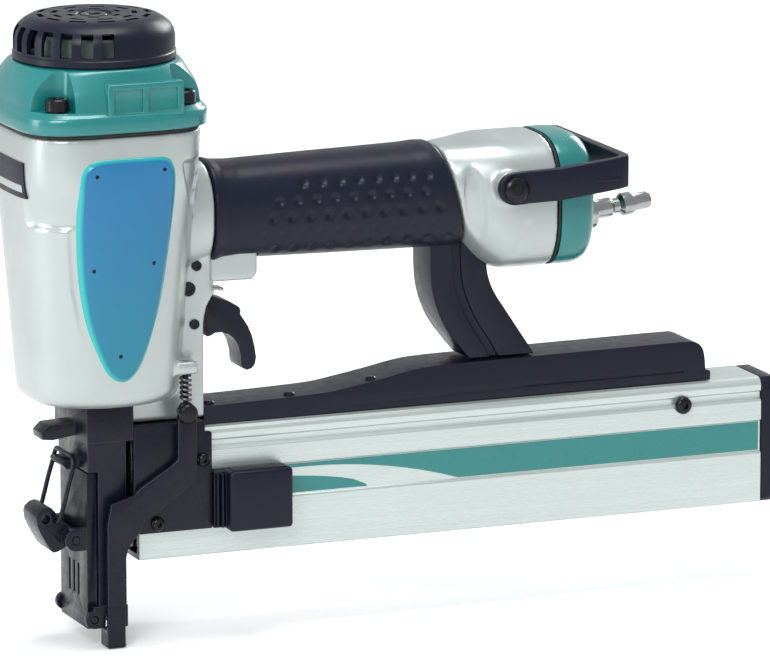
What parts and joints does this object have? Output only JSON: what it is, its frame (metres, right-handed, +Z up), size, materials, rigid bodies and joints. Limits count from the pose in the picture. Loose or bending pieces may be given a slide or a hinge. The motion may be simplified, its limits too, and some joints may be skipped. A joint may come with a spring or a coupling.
{
  "type": "pneumatic nail gun",
  "caption": "Air-driven wide-crown fastener gun with a long side-loading magazine, rubber-sleeved handle, sprung trigger and contact trip, opening nose door and swinging hook.",
  "frame": {"origin": "centre of the muzzle face, the flat lower end of the rear driver guide, in the tool's mid-plane", "axes": "+Z up along the driver towards the exhaust cover, +X rearwards along the magazine and handle, so the muzzle points to -Z"},
  "size_m": [0.3836, 0.0916, 0.2928],
  "materials": {
    "cast_silver": "fine-grained silver paint on cast magnesium",
    "teal_paint": "satin teal paint on cast aluminium",
    "teal_plate": "glossy blue-teal moulded plate",
    "dark_plastic": "moulded dark plastic, satin",
    "grip_rubber": "soft-touch dark rubber",
    "black_steel": "blackened steel, semi-gloss",
    "satin_aluminium": "satin anodised extrusion",
    "bright_steel": "ground bright steel",
    "spring_steel": "drawn spring steel",
    "seal_rubber": "plain black rubber",
    "bare_aluminium": "machined aluminium"
  },
  "bodies": {
    "tool_frame": {"main_housing": "cast_silver", "side_panel_left": "teal_plate", "side_panel_right": "teal_plate", "data_plate": "dark_plastic", "cylinder_sleeve": "bare_aluminium", "piston_bumper": "seal_rubber", "cylinder_head": "teal_paint", "cylinder_gasket": "seal_rubber", "head_valve_spring": "spring_steel", "exhaust_muffler": "cast_silver", "exhaust_screw": "black_steel", "head_screw_1": "black_steel", "head_screw_2": "black_steel", "head_screw_3": "black_steel", "head_screw_4": "black_steel", "rubber_grip": "grip_rubber", "end_cap_gasket": "seal_rubber", "handle_end_cap": "teal_paint", "end_cap_screw_1": "black_steel", "end_cap_screw_2": "black_steel", "end_cap_screw_3": "black_steel", "end_cap_screw_4": "black_steel", "air_plug": "bright_steel", "hook_screw_left": "black_steel", "hook_screw_right": "black_steel", "trigger_pin": "black_steel", "valve_body": "bare_aluminium", "valve_spring": "spring_steel", "web_pin_1": "black_steel", "web_pin_2": "black_steel", "nose_base": "black_steel", "door_hinge_pin": "bright_steel", "contact_spring": "spring_steel", "magazine_bracket": "black_steel", "magazine_cover": "dark_plastic", "bracket_screw_1": "black_steel", "bracket_screw_2": "black_steel", "staple_rail": "bright_steel", "support_bracket": "dark_plastic"},
    "exhaust_cover": {"exhaust_cover": "dark_plastic"},
    "driver": {"piston": "bare_aluminium", "piston_ring": "seal_rubber", "driver_blade": "bright_steel"},
    "head_valve": {"head_valve": "dark_plastic"},
    "trigger": {"trigger": "dark_plastic", "trigger_arm": "bright_steel"},
    "valve_stem": {"valve_stem": "bright_steel"},
    "contact_trip": {"contact_arm": "black_steel", "contact_foot": "black_steel", "contact_bolt": "black_steel"},
    "nose_door": {"nose_door": "black_steel", "latch_pin": "bright_steel"},
    "door_latch": {"door_latch": "black_steel"},
    "latch_wire": {"latch_wire": "spring_steel"},
    "magazine": {"magazine_body": "satin_aluminium", "magazine_end_cap": "dark_plastic", "magazine_screw": "black_steel"},
    "pusher": {"pusher": "spring_steel"},
    "magazine_latch": {"magazine_latch": "dark_plastic"},
    "carry_hook": {"carry_hook": "dark_plastic"}
  },
  "joints": [
    {"name": "exhaust_swivel", "type": "hinge", "parent": "tool_frame", "child": "exhaust_cover", "pos_m": [-0.0037, 0, 0.27], "axis": [0, 0, 1], "continuous": true},
    {"name": "driver_stroke", "type": "slide", "parent": "tool_frame", "child": "driver", "axis": [0, 0, -1], "range_m": [0, 0.087]},
    {"name": "head_valve_lift", "type": "slide", "parent": "tool_frame", "child": "head_valve", "axis": [0, 0, 1], "range_m": [0, 0.004], "stiffness_N_per_m": 800, "springref_m": -0.01, "deforming": ["head_valve_spring"]},
    {"name": "trigger_pull", "type": "hinge", "parent": "tool_frame", "child": "trigger", "pos_m": [0.0355, 0, 0.1556], "axis": [0, -1, 0], "range_deg": [0, 12], "stiffness_Nm_per_rad": 0.5, "springref_deg": -17.19},
    {"name": "valve_stem_lift", "type": "slide", "parent": "tool_frame", "child": "valve_stem", "axis": [0, 0, 1], "range_m": [0, 0.0036], "deforming": ["valve_spring"]},
    {"name": "contact_lift", "type": "slide", "parent": "tool_frame", "child": "contact_trip", "axis": [0, 0, 1], "range_m": [0, 0.007], "stiffness_N_per_m": 400, "springref_m": -0.02, "deforming": ["contact_spring"]},
    {"name": "door_swing", "type": "hinge", "parent": "tool_frame", "child": "nose_door", "pos_m": [-0.0135, 0, 0.0048], "axis": [0, -1, 0], "range_deg": [0, 90]},
    {"name": "latch_lever", "type": "hinge", "parent": "nose_door", "child": "door_latch", "pos_m": [-0.0207, 0, 0.0423], "axis": [0, -1, 0], "range_deg": [0, 70]},
    {"name": "latch_bail", "type": "hinge", "parent": "door_latch", "child": "latch_wire", "pos_m": [-0.0277, 0, 0.0503], "axis": [0, -1, 0], "range_deg": [0, 45]},
    {"name": "magazine_slide", "type": "slide", "parent": "tool_frame", "child": "magazine", "axis": [1, 0, 0], "range_m": [0, 0.22]},
    {"name": "pusher_slide", "type": "slide", "parent": "magazine", "child": "pusher", "axis": [1, 0, 0], "range_m": [0, 0.25], "stiffness_N_per_m": 15, "springref_m": -0.4},
    {"name": "magazine_release", "type": "hinge", "parent": "tool_frame", "child": "magazine_latch", "pos_m": [0.0461, -0.0199, 0.056], "axis": [0, 0, -1], "range_deg": [0, 12], "stiffness_Nm_per_rad": 0.5, "springref_deg": -17.19},
    {"name": "hook_swing", "type": "hinge", "parent": "tool_frame", "child": "carry_hook", "pos_m": [0.1899, 0, 0.1948], "axis": [0, -1, 0], "range_deg": [0, 110]}
  ],
  "couplings": [
    {"joint": "valve_stem_lift", "follows": "trigger_pull", "m_per_rad": 0.0165}
  ]
}
